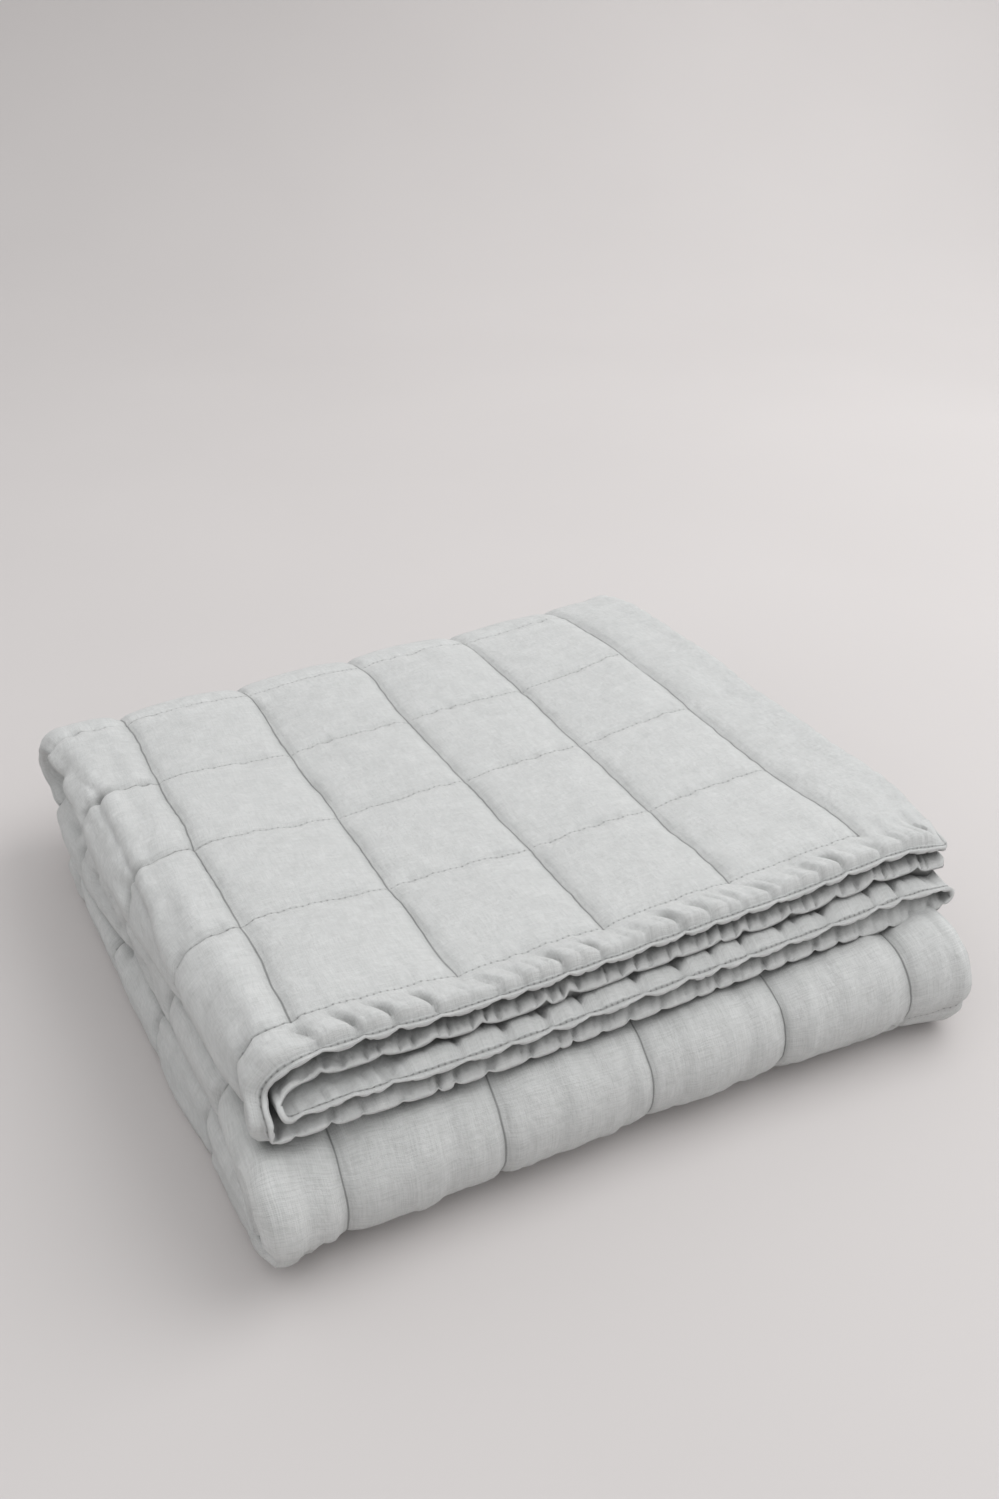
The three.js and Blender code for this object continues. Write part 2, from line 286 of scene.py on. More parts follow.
# A pleat's crease: how far it strays, in periods, how sharp it is, and its depth's even and uneven
# share. The finer pleats between: their share and their period, in periods.
PLEAT_STRAY = 0.32
PLEAT_SHARP = 3.6
PLEAT_DEPTH = (0.72, 0.28)
FINE_PLEATS = (0.30, 0.43)

# How far a deeper crease draws the edge in, and how far from the edge that ends
DRAWN = (0.0016, 0.016)

# How far each hem hangs below its layer's plane, by the place across the quilt, how far in from the
# edge that begins, and how far at most. A slow wave, with this depth, length and seed, is added.
HEM_DROP = [
    (0.000, 0.000), (0.560, 0.000), (0.680, 0.004), (0.760, 0.006), (1.180, 0.006), (1.285, 0.013),
    (1.322, 0.004), (1.360, 0.001), (1.930, 0.001), (1.990, 0.005), (2.600, 0.006),
]
DROP_REACH = [(0.000, 0.060), (0.680, 0.024), (1.300, 0.022), (1.360, 0.050), (1.930, 0.060), (2.600, 0.075)]
DROP_END = 0.08
DROP_WAVE = (0.0010, 0.030, 12.0)

# How a seam strays between its crossings: each wave's share, length and seed. A long seam also bows,
# and the waves differ from one seam to the next.
LONG_WAVES = [(0.50, 0.050, 8.0), (0.45, 0.017, 18.0)]
CROSS_WAVES = [(0.40, 0.040, 9.0), (0.35, 0.015, 19.0)]
BOW = 0.6
BOW_SEED = 22
WAVE_STEP = 1.3
STRAY_START = 0.03

# Wrinkles everywhere, then more on the belly, which is the front fold, and on the wall, which is the
# outer left fold: share, length across, slant, length along, seed
BROAD = [(1.0, 0.070, 0.175, 0.120, 1.0), (0.6, 0.028, -0.060, 0.075, 2.0)]
SMALL = [(1.0, 0.0105, math.inf, 0.0130, 3.0), (0.7, 0.0056, math.inf, 0.0062, 4.0)]
BELLY = [(1.9, 0.026, 0.200, 0.300, 14.0), (1.2, 0.012, 0.120, 0.160, 15.0)]
WALL = [(1.7, 0.016, math.inf, 0.220, 20.0), (0.5, 0.020, 0.050, 0.070, 21.0)]
BELLY_SPAN = (1.10, 1.16, 1.235, 1.300)

# Puckers beside a seam: share, reach, length along it, step from seam to seam, seed
LONG_PUCKERS = (1.0, 0.011, 0.0085, 3.1, 5.0)
CROSS_PUCKERS = (2.4, 0.009, 0.0095, 3.7, 6.0)
PUCKER_LENGTH = 0.03

# A square's bulge: how full it is, and its share at a cross seam, on the flat and more on the wall
BULGE_POWER = 0.7
BULGE_LEAST = (0.45, 0.40)

# How much deeper cross seams and wrinkles are on the wall, how much shallower the long seams are on
# the lowest third and from where, and where a seam ends, measured inwards from the outer seam
WALL_MORE = 0.3
LOWEST_LESS = 0.35
LOWEST_START = (1.15, 1.20)
SEAM_END = (-0.007, 0.001)

# The face at the hem: its level, the topstitch's depth and half width, where the padding is full,
# the same from a corner, the puff behind the topstitch and its span, and the least levels
HEM_LEVEL = 0.0022
TOPSTITCH = (0.0011, 0.0012)
HEM_FULL = 0.0095
CORNER_FULL = (0.008, 0.030)
PUFF = 0.0034
PUFF_SPAN = (0.012, 0.036)
LEAST_PADDED = 0.0006
LEAST_FACE = 0.0004

# The reverse side: its level, the puff at the hem and its span, the level and the roundness at the
# edge, its small wrinkles (depth, two lengths and seed) and their start, and its gathers' start
BACK_LEVEL = 0.0046
BACK_PUFF = 0.0026
BACK_PUFF_SPAN = (0.014, 0.040)
BACK_EDGE = 0.0002
BACK_ROUND = 0.0150
BACK_WRINKLES = (0.0005, 0.006, 0.010, 7.0)
BACK_WRINKLE_START = (0.001, 0.006)
BACK_GATHERS = 0.0075
LEAST_BACK = -0.0006

# The mesh of one side: cells to a square and to a border, the border's cells' power towards the hem,
# and how often a cell is halved at most, by place. Around a place it is halved less and less.
SQUARE_CELLS = 4
BORDER_CELLS = (3, 1)
BORDER_POWER = 1.35
MOST_HALVED = 4
FACE_HALVED = [
    # how often, from and to across, from and to along
    (3, 0.0, 0.62, 0.0, 0.570), (2, 0.0, 0.62, 0.560, 0.780), (3, 0.585, 0.715, 0.0, 1.8),
    (3, 0.66, 1.335, 1.175, 1.300), (2, 0.66, 1.35, 1.300, 1.8), (2, 1.29, 1.350, 0.0, 1.8),
    (4, 0.635, 0.670, 0.17, 0.44), (4, 0.0, 0.70, 0.0, 0.034), (4, 1.31, 1.96, 0.0, 0.022),
]
BACK_HALVED = [
    (1, 0.55, 0.75, 0.0, 1.8), (1, 0.0, 2.6, 0.50, 0.78), (1, 0.0, 2.6, 1.15, 1.32),
    (4, 0.64, 1.34, 0.0, 0.022), (4, 1.93, 2.60, 0.0, 0.022),
]
BOTH_HALVED = [
    (3, 0.0, 2.6, 0.0, 0.006), (2, 0.0, 0.012, 0.0, 1.8), (2, 2.588, 2.6, 0.0, 1.8),
    (2, 0.0, 2.6, 1.785, 1.8), (1, 1.92, 2.0, 0.0, 1.8), (1, 1.28, 1.36, 0.0, 1.8),
]
HALVED_FADE = [(0.0, 0), (0.012, 1), (0.04, 2)]

# Near the hem both sides are halved alike: as far in as this, and almost alike up to the second
RIM = 0.05
NARROW_RIM = 0.008

# The linen's noises: scale, detail and roughness. The slubs' scale is in their stretch.
CLOUDS = (46.0, 5.0, 0.66)
SPECKS = (230.0, 3.0, 0.60)
CRINKLES = (120.0, 4.0, 0.62)
SLUBS = (1.0, 2.0, 0.6)

# The slubs' scales across and along a yarn. The scale and the width of the yarns' slow waves.
SLUB_STRETCH = (1400.0, 55.0)
YARN_WAVES = (90.0, 0.0009)

# Which part of each noise shows, and how strongly, on the whole and on the belly, with painted weave shade
CLOUD_SPAN = (0.30, 0.72)
SPECK_SPAN = (0.35, 0.70)
SPECK_SHARE = 0.22
SLUB_SPAN = (0.92, 1.22)
SLUB_SHARE = (0.42, 0.54)
# Where along the strip the yarns darken more: painted shade of the weave on the belly
BELLY_WEAVE_SHADE_SPAN = (1.10, 1.15, 1.30, 1.35)
# Which part of the occlusion darkens the colour, as painted shade in folds and gaps
PAINTED_FOLD_SHADE_SPAN = (0.25, 0.92)
ROUGH_SPAN = (0.3, 0.7)
ROUGHNESS = (0.86, 0.97)

# How dark the painted shade of a crease, a needle hole and a deep fold gets, as shares of the deep colour
DARKEST = (0.45, 0.30, 0.25)

# The lines that mark seams, topstitch and needle holes, as dents and painted shade: the half widths at which
# each is full and gone, the share of the soft painted shade beside a long seam, the span of the wall, where
# a cross line is stronger, how far it runs past the outer seam, and how short the holes are
LONG_LINE = (0.0004, 0.0011)
CROSS_LINE = (0.0001, 0.0011)
HEM_LINE = (0.0001, 0.0009)
HEM_HOLES = (0.0003, 0.0008)
SEAM_SHADE_STRIPE = (0.0, 0.0055)
SEAM_SHADE_SHARE = 0.20
CROSS_SHARE = (0.18, 0.7)
HEM_SHARE = 0.7
BENT_SPAN = (0.55, 0.60, 0.72, 0.76)
LINE_PAST = 0.001
HOLE_SHARP = 4.0

# The stage: the paper's half size, its strips, where it bends up, the bend's radius, its heading in
# degrees, its mottle's scale and how much paler that gets, and its roughness
PAPER = 5.0
PAPER_STRIPS = 48
PAPER_BEND = 2.2
PAPER_RADIUS = 1.6
PAPER_HEADING = -27.47
PAPER_MOTTLE = (1.4, 1.03)
PAPER_ROUGHNESS = 0.9
LIGHTS = [
    # name, place, target, size, power
    ("key light", (1.7, -0.4, 2.35), (0.0, 0.0, 0.08), 2.6, 39.5),
    ("backdrop light", (2.0, 1.4, 2.6), (3.4, 2.6, 1.2), 1.5, 20.0),
]

# The studio's own light: its colour, and its strength over the rise of the direction
SKY_COLOUR = (0.90, 0.90, 0.905, 1.0)
SKY_RISE = (0.15, 0.45)
SKY_STRENGTH = (0.22, 1.06)

# The camera, as fitted to the seam crossings
SENSOR = 36.0
LENS = 31.05
CAMERA_PLACE = (-0.4448, -0.9212, 0.8164)
CAMERA_BACK = (-0.3942, -0.7583, 0.5192)
CAMERA_RIGHT = (0.8873, -0.4613, 0.0)


def clamp01(value):
    return min(1.0, max(0.0, value))


def smooth(start, end, value):
    t = clamp01((value - start) / (end - start))
    return t * t * (3.0 - 2.0 * t)


def window(span, value):
    """1 between the inner two of four places, and 0 outside the outer two"""
    return smooth(*span[:2], value) * (1 - smooth(*span[2:], value))


def mix(a, b, share):
    return a + (b - a) * share


def read(table, at):
    """A value off a table, straight between its rows"""
    index = 0
    while index < len(table) - 2 and at > table[index + 1][0]:
        index += 1
    a = table[index]
    b = table[index + 1]
    return mix(a[1], b[1], clamp01((at - a[0]) / (b[0] - a[0])))


def quarter_length(a, b):
    """A quarter of an ellipse's outline"""
    return math.pi / 4 * (3 * (a + b) - math.sqrt((3 * a + b) * (a + 3 * b)))


def unit(x, q):
    size = math.hypot(x, q)
    return x / size, q / size


def field(x, y, seed):
    """Smooth noise from about -1 to 1 on the flat cloth"""
    return noise.noise(Vector((x, y, seed)))


def chance(a, b, seed):
    """An even spread from -1 to 1 that stays the same for the same numbers"""
    return noise.cell(Vector((a + 0.5, b + 0.5, seed + 0.5)))


def waves(table, run, seam):
    """The sum of a table's waves along a seam"""
    return sum(share * field(run / length, seam, seed) for share, length, seed in table)


def wrinkles(table, u, v):
    """The sum of a table's wrinkles at a place"""
    total = 0.0
    for share, across, slant, along, seed in table:
        total += share * field(u / across + v / slant, v / along, seed)
    return total


def puckers(row, off, run, seam):
    """The puckers at a distance off a seam"""
    share, reach, length, step, seed = row
    return share * math.exp(-abs(off) / reach) * field(run / length, seam * step + off / PUCKER_LENGTH, seed)


class Fold:
    """Takes a point of the flat quilt to its place in the stack"""

    def __init__(self, quilt, stack):
        self.width = quilt.width
        self.length = quilt.length
        self.column = quilt.column
        self.row = quilt.row
        self.columns = quilt.columns
        self.rows = quilt.rows
        self.half = quilt.thickness / 2
        self.flange = quilt.flange
        self.side_border = (quilt.width - quilt.columns * quilt.column) / 2
        self.end_border = (quilt.length - quilt.rows * quilt.row) / 2
        self.pitch = stack.pitch
        self.hollow = stack.hollow
        self.lead = stack.lead
        self.back = stack.back_fold
        self.draw = (stack.draw_inside, stack.draw_outside)
        self.right_start = stack.right_start
        self.inner = (stack.inner_start, stack.inner_end)
        self.free_x = 5 * quilt.column + self.side_border
        self.right_x = stack.right_fold - self.half - stack.pitch / 2
        self.seat = stack.pack_gap / 2 + self.half
        self.top_level = stack.height - self.half - 3 * stack.pitch
        self.lower_joint = quilt.thickness + 3 * stack.pitch + stack.pack_gap / 2
        self.upper_joint = self.lower_joint + 2 * self.seat + 3 * stack.pitch

    def hollow_at(self, v):
        return self.hollow * (1 - smooth(*HOLLOW_SHUT, v))

    def section(self, u, v):
        """Where u lies across the strip, its height in the pack, and which way the face looks"""
        creep = smooth(*CREEP, v)
        free_x = self.free_x + creep * CREEP_BY[0]
        right_start = self.right_start + creep * CREEP_BY[1]
        right_x = self.right_x + creep * CREEP_BY[2]
        pitch = self.pitch
        gap = self.hollow_at(v)
        share = gap / self.hollow
        crest = read(LEFT_SIDE, v) + self.half
        middle = 1.5 * pitch
        high_a = mix(middle, HOLLOW_REACH[0], share)
        high_b = middle + HOLLOW_SHARE[0] * gap
        low_a = mix(middle, HOLLOW_REACH[1], share)
        low_b = middle + HOLLOW_SHARE[1] * gap
        start = free_x - crest - high_a
        high_arc = quarter_length(high_a, high_b)
        foot = read(FOOT, v)
        upright = low_b - foot
        low_arc = upright + math.pi / 2 * foot
        end = start + high_arc + low_arc
        right_arc = math.pi * pitch / 2
        if u <= start:
            return free_x - u, 3 * pitch + gap, 0.0, 1.0
        if u <= start + high_arc:
            turn = math.pi / 2 * (u - start) / high_arc
            normal = unit(-math.sin(turn) / high_a, math.cos(turn) / high_b)
            return crest + high_a * (1 - math.sin(turn)), low_b + high_b * math.cos(turn), *normal
        if u <= start + high_arc + upright:
            return crest, low_b - (u - start - high_arc), -1.0, 0.0
        if u <= end:
            turn = (u - start - high_arc - upright) / foot
            return crest + foot * (1 - math.cos(turn)), foot * (1 - math.sin(turn)), -math.cos(turn), -math.sin(turn)
        if u <= right_start:
            share = (u - end) / (right_start - end)
            return mix(crest + foot, right_x, share), 0.0, 0.0, -1.0
        if u <= right_start + right_arc:
            turn = math.pi * (u - right_start) / right_arc
            x = right_x + pitch / 2 * math.sin(turn)
            return x, pitch / 2 * (1 - math.cos(turn)), math.sin(turn), -math.cos(turn)
        inner_x = crest + pitch + INNER_GAP - MOUTH_TIGHT * (1 - smooth(*MOUTH_SPAN, v))
        under_a = low_a - pitch
        under_b = low_b - pitch
        over_a = high_a - pitch
        over_b = high_b - pitch
        first, last = self.inner
        if u <= first:
            begin = right_start + right_arc
            return mix(right_x, inner_x + under_a, (u - begin) / (first - begin)), pitch, 0.0, 1.0
        turn = math.pi * (u - first) / (last - first)
        if turn <= math.pi / 2:
            normal = unit(math.sin(turn) / under_a, math.cos(turn) / under_b)
            x = inner_x + under_a * (1 - math.sin(turn))
            return x, pitch + under_b * (1 - math.cos(turn)), *normal
        if turn <= math.pi:
            normal = unit(math.sin(turn) / over_a, math.cos(turn) / over_b)
            x = inner_x + over_a * (1 - math.sin(turn))
            return x, pitch + under_b - over_b * math.cos(turn), *normal
        share = (u - last) / (self.width - last)
        return mix(inner_x + over_a, free_x, share), 2 * pitch + gap, 0.0, -1.0

    def sweep(self, x, q, slip, v):
        """Along the strip: top third, back fold, middle third, front fold and lowest third"""
        pitch = self.pitch
        gap = self.hollow_at(v)
        lead = self.lead * (1 - smooth(pitch, 2 * pitch + gap, q))
        front = read(FRONT_SIDE, x)
        draw = mix(*self.draw, slip / (3 * pitch))
        top_depth = self.top_level - self.upper_joint
        mean_depth = (top_depth + self.seat) / 2
        back_way = 2 * quarter_length(mean_depth + slip + draw, mean_depth + slip)
        front_way = math.pi * (self.seat + 3 * pitch - slip)
        way = v - (self.back + self.end_border + lead)
        if way <= 0:
            return self.back + way, self.top_level - gap + q
        if way <= back_way:
            turn = math.pi * way / back_way
            depth = mix(top_depth, self.seat, turn / math.pi) + q
            return self.back + (depth + draw) * math.sin(turn), self.upper_joint + depth * math.cos(turn)
        way -= back_way
        if way <= self.back - front:
            return self.back - way, self.upper_joint - self.seat - q
        way -= self.back - front
        reach = self.seat + 3 * pitch - q
        if way <= front_way:
            turn = math.pi * way / front_way
            return front - reach * math.sin(turn), self.lower_joint + reach * math.cos(turn)
        way -= front_way
        return front + way, self.lower_joint - self.seat - 3 * pitch + q

    def eye(self, x, q, v):
        """How far the back fold's inner layers are drawn in at their left end"""
        reach, fade = EYE
        along = window(EYE_SPAN, v)
        if not along:
            return 0.0
        inner = 1 - smooth(EYE_LAYERS[0] * self.pitch, EYE_LAYERS[1] * self.pitch, q)
        return reach * along * inner * (1 - smooth(read(LEFT_SIDE, v), fade, x))

    def stray(self, x, v, share):
        """How far the cloth is from its place in an even stack: nothing past three reaches"""
        total = Vector()
        for at_x, at_v, reach_x, reach_v, across, back, top, whole in STRAYS:
            off = ((x - at_x) / reach_x) ** 2 + ((v - at_v) / reach_v) ** 2
            if off < 3 ** 2:
                total += math.exp(-off) * Vector((across * share, back * share, top * share + whole))
        return total

    def place(self, u, v, w, drop=0.0):
        """A point of the folded cloth, w off the middle surface, in the part's frame"""
        x, q, nx, nq = self.section(u, v)
        x += self.eye(x, q, v)
        share = clamp01(q / (3 * self.pitch))
        x += w * nx
        q += w * nq
        y, z = self.sweep(x, q, read(SLIP, u) * self.pitch, v)
        stray = self.stray(x, v, share)
        rise = 1.0
        for share, across, along, shift in WAVES:
            rise += share * math.sin(2 * math.pi * (x / across + y / along) + shift)
        z = (z - drop + stray.z) * rise
        z = (z + math.hypot(z, FLOOR_EASE)) / 2
        return Vector((x + stray.x - CENTRE[0], y + stray.y - CENTRE[1], z))


class Relief:
    """How the padding, the seams and the hems lift the cloth's two sides off its middle surface"""

    def __init__(self, fold, sizes):
        self.fold = fold
        for name in ReliefSizes.__annotations__:
            setattr(self, name, getattr(sizes, name))

    def seams(self, u, v):
        """Signed distances to the nearest seams, along and across the strip, and which ones they are"""
        f = self.fold
        k = min(max(round((u - f.side_border) / f.column), 0), f.columns)
        m = min(max(round((v - f.end_border) / f.row), 0), f.rows)
        return u - f.side_border - k * f.column, v - f.end_border - m * f.row, k, m

    def wandered(self, u, v):
        """The point shifted in the cloth's plane, so that seams stray and kink where they cross"""
        f = self.fold
        a = (u - f.side_border) / f.column
        b = (v - f.end_border) / f.row
        k = math.floor(a)
        m = math.floor(b)
        s = a - k
        t = b - m

        def crossings(seed):
            """Chance at the square's four crossings, blended across the square"""
            front = mix(chance(k, m, seed), chance(k + 1, m, seed), s)
            behind = mix(chance(k, m + 1, seed), chance(k + 1, m + 1, seed), s)
            return mix(front, behind, t)

        bow = BOW * chance(k, m, BOW_SEED) * math.sin(2 * math.pi * t)
        across = crossings(3) + bow + waves(LONG_WAVES, v, k + WAVE_STEP * s)
        along = crossings(4) + waves(CROSS_WAVES, u, m + WAVE_STEP * t)
        held = self.wander * smooth(0.0, STRAY_START, min(u, f.width - u, v, f.length - v))
        return u + held * across, v + held * along

    def pleat(self, s, period, seed):
        """0 in the middle of a gathered puff and 1 in the crease at its ends"""
        index = math.floor(s / period)
        if s < (index + 0.5 + PLEAT_STRAY * chance(index, 0, seed)) * period:
            index -= 1
        start = (index + 0.5 + PLEAT_STRAY * chance(index, 0, seed)) * period
        end = (index + 1.5 + PLEAT_STRAY * chance(index + 1, 0, seed)) * period
        t = (s - start) / (end - start)
        uneven = mix(chance(index, 1, seed), chance(index + 1, 1, seed), smooth(0.2, 0.8, t))
        return (PLEAT_DEPTH[0] + PLEAT_DEPTH[1] * uneven) * abs(2 * t - 1) ** PLEAT_SHARP

    def gathers(self, s, e, edge):
        """How deep the hem's creases are here, how far its edge is drawn in, and how far it is bitten up"""
        if e > GATHER_END:
            return 0.0, 0.0, 0.0
        total = self.fold.width if edge in (0, 3) else self.fold.length
        to_corner = min(s, total - s)
        held = smooth(*GATHER_CORNER, to_corner)
        row = OTHER_EDGES
        if edge == 0:
            row = next((row for row in HEMS if s < row[1]), HEMS[-1])
            if to_corner > ROW_FADE_START:
                held *= smooth(0.0, ROW_FADE, s - row[0]) * smooth(0.0, ROW_FADE, row[1] - s)
        start, _, period, deep, reach, curve, bite_period, bite = row
        run = s - curve * e * e / reach
        seed = 11 + edge + round(10 * start)
        share, finer = FINE_PLEATS
        crease = self.pleat(run, period, seed) + share * self.pleat(run, finer * period, seed + 1)
        near = smooth(self.fold.flange + GATHER_START[0], self.fold.flange + GATHER_START[1], e)
        near *= 1 - smooth(GATHER_FULL * reach, reach, e)
        bitten = self.pleat(s, bite_period, seed if bite_period == period else seed + 5)
        drawn = DRAWN[0] * bitten * (1 - smooth(0.0, DRAWN[1], e))
        return held * deep * crease * near * self.gather, held * drawn, held * bite * bitten

    def hem(self, u, v):
        """Distance in from the nearest edge, the place along it, and which edge"""
        f = self.fold
        return min((v, u, 0), (u, v, 1), (f.width - u, v, 2), (f.length - v, u, 3))

    def corner(self, u, v):
        """How far a point near a corner of the hem moves in to round it"""
        s = 1 - clamp01(u / self.round)
        t = 1 - clamp01(v / self.round)
        return self.round * s * (1 - math.sqrt(1 - t * t / 2)), self.round * t * (1 - math.sqrt(1 - s * s / 2))

    def mouth(self, u, v, rows):
        """1 in the middle of a fold's open mouth"""
        return max(
            math.exp(-((u - at) / reach) ** 2) * (1 - smooth(deep / 4, deep, v)) for at, reach, deep in rows
        )

    def face(self, u, v):
        """The side that shows on top"""
        f = self.fold
        du, dv, k, m = self.seams(u, v)
        e, s, edge = self.hem(u, v)
        wall = window(WALL_SPAN, u)
        belly = window(BELLY_SPAN, v)
        deep = self.seam_depth * (1 - LOWEST_LESS * smooth(*LOWEST_START, v))
        across = self.cross_depth * (1 + WALL_MORE * wall)
        inside_u = smooth(*SEAM_END, min(u, f.width - u) - f.side_border)
        inside_v = smooth(*SEAM_END, min(v, f.length - v) - f.end_border)
        valley = math.hypot(
            inside_v * deep * math.exp(-abs(du) / self.seam_width),
            inside_u * across * math.exp(-abs(dv) / self.cross_width),
        )
        full_u = math.sin(math.pi / 2 * clamp01(abs(du) / (0.5 * f.column))) ** BULGE_POWER
        full_v = math.sin(math.pi / 2 * clamp01(abs(dv) / (0.5 * f.row))) ** BULGE_POWER
        bulge = self.bulge * full_u * mix(BULGE_LEAST[0] + BULGE_LEAST[1] * wall, 1.0, full_v)
        broad = wrinkles(BROAD, u, v) + belly * wrinkles(BELLY, u, v) + wall * wrinkles(WALL, u, v)
        w = f.half + bulge - valley + self.wrinkle * (1 + WALL_MORE * wall) * broad
        w += self.crumple * (1 + wall + belly) * wrinkles(SMALL, u, v)
        w += self.pucker * (1 + wall) * (puckers(LONG_PUCKERS, du, v, k) + puckers(CROSS_PUCKERS, dv, u, m))
        mouth = self.mouth(u, v, MOUTHS[:-1])
        w = max(mix(w, MOUTH_FACE, mouth), LEAST_PADDED)
        w += PUFF * (1 - mouth) * (1 - smooth(*PUFF_SPAN, e))
        to_corner = math.hypot(min(u, f.width - u), min(v, f.length - v))
        full = smooth(f.flange, HEM_FULL, e) * smooth(*CORNER_FULL, to_corner)
        stitched = HEM_LEVEL - TOPSTITCH[0] * math.exp(-((e - f.flange) / TOPSTITCH[1]) ** 2)
        return max(mix(stitched, w, full) - self.gathers(s, e, edge)[0], LEAST_FACE)

    def back(self, u, v):
        """The reverse side, as a distance to the other side of the middle surface"""
        e, s, edge = self.hem(u, v)
        plain = BACK_LEVEL + BACK_PUFF * (1 - smooth(*BACK_PUFF_SPAN, e))
        rounded = math.sqrt(1 - (1 - clamp01(e / BACK_ROUND)) ** 2)
        depth, along, inward, seed = BACK_WRINKLES
        level = mix(BACK_EDGE, plain, rounded)
        level += depth * field(s / along, e / inward, seed) * smooth(*BACK_WRINKLE_START, e)
        level = mix(level, min(level, MOUTH_BACK), self.mouth(u, v, MOUTHS))
        return max(level - self.gathers(s, e + BACK_GATHERS, edge)[0], LEAST_BACK)

    def sunk(self, u, v, above):
        """How far the outer left fold's creases lie in"""
        wall = window(WALL_SPAN, u) * smooth(0.0, WALL_START, v)
        if not wall:
            return 0.0
        dv = self.seams(u, v)[1]
        total = self.sink * wall * math.exp(-abs(dv) / SINK_WIDTH)
        if above:
            stray, length, seed = TROUGH_STRAY
            off = abs(u - read(TROUGH, v) - stray * field(v / length, 0.0, seed))
            even, uneven, length, seed = TROUGH_UNEVEN
            deep = read(TROUGH_DEPTH, v) * (even + uneven * field(v / length, 0.0, seed))
            total += wall * deep * math.exp(-off / TROUGH_WIDTH)
            for at_u, at_v, reach_u, reach_v, deep in PINCHES:
                total += deep * math.exp(-((u - at_u) / reach_u) ** 2 - ((v - at_v) / reach_v) ** 2)
            deep, along, across = TROUGH_PINCH
            total += wall * deep * math.exp(-(dv / along) ** 2 - (off / across) ** 2)
        return total

    def point(self, u, v, above):
        """Where a point of one side of the quilt lies in the stack"""
        f = self.fold
        w = self.face(u, v) if above else -self.back(u, v)
        w -= self.sunk(u, v, above)
        e, s, edge = self.hem(u, v)
        drawn, bitten = self.gathers(s, e, edge)[1:]
        round_u, round_v = self.corner(min(u, f.width - u), min(v, f.length - v))
        a, b = self.wandered(u, v)
        a += round_u if u < f.width / 2 else -round_u
        b += round_v if v < f.length / 2 else -round_v
        a += drawn if edge == 1 else -drawn if edge == 2 else 0.0
        b += drawn if edge == 0 else -drawn if edge == 3 else 0.0
        drop = 0.0
        if v < DROP_END:
            depth, length, seed = DROP_WAVE
            hang = 1 - smooth(0.0, read(DROP_REACH, u), v)
            drop = hang * (read(HEM_DROP, u) - bitten + depth * field(u / length, 0.0, seed))
        return f.place(a, b, w, drop)


def times_halved(u, v, above):
    """How many times the mesh is halved at a place on the flat quilt"""
    most = 0
    for amount, u0, u1, v0, v1 in (FACE_HALVED if above else BACK_HALVED) + BOTH_HALVED:
        off = max(u0 - u, u - u1, v0 - v, v - v1)
        for reach, less in HALVED_FADE:
            if off <= reach:
                most = max(most, amount - less)
                break
    return most


def flat_sheet(fold, above):
    """One side of the flat quilt, halved where it shows"""
    border_u, border_v = BORDER_CELLS
    count_u = fold.columns * SQUARE_CELLS + 2 * border_u
    count_v = fold.rows * SQUARE_CELLS + 2 * border_v
    bm = bmesh.new()
    bmesh.ops.create_grid(bm, x_segments=count_u, y_segments=count_v, size=0.5)

    def along(share, count, border, margin, step, total):
        """From a share of the grid to metres, with finer cells towards the hem"""
        index = (share + 0.5) * count
        if index <= border:
            return margin * max(index / border, 0.0) ** BORDER_POWER
        if index >= count - border:
            return total - margin * max((count - index) / border, 0.0) ** BORDER_POWER
        return margin + (index - border) * step / SQUARE_CELLS

    def flat(point):
        """A grid point's place on the flat quilt"""
        u = along(point.x, count_u, border_u, fold.side_border, fold.column, fold.width)
        v = along(point.y, count_v, border_v, fold.end_border, fold.row, fold.length)
        return u, v

    def wanted(face):
        """How often a cell is halved, with the hem's cells as on the other side"""
        u, v = flat(face.calc_center_median())
        level = times_halved(u, v, above)
        rim = min(u, v, fold.width - u, fold.length - v)
        if rim >= RIM:
            return level
        either = max(level, times_halved(u, v, not above))
        if any(edge.is_boundary for edge in face.edges):
            return either
        return max(level, either - (1 if rim < NARROW_RIM else 2))

    for amount in range(1, MOST_HALVED + 1):
        edges = set()
        for face in bm.faces:
            if len(face.verts) == 4 and wanted(face) >= amount:
                edges.update(face.edges)
        bmesh.ops.subdivide_edges(bm, edges=list(edges), cuts=1, use_grid_fill=True)
    for vert in bm.verts:
        vert.co = *flat(vert.co), fold.half if above else -fold.half
    return bm


def finish_mesh(name, bm, materials):
    """A mesh object at the origin, shaded smooth"""
    mesh = bpy.data.meshes.new(name)
    bm.to_mesh(mesh)
    bm.free()
    mesh.shade_smooth()
    for material in materials:
        mesh.materials.append(material)
    piece = bpy.data.objects.new(name, mesh)
    bpy.context.collection.objects.link(piece)
    return piece


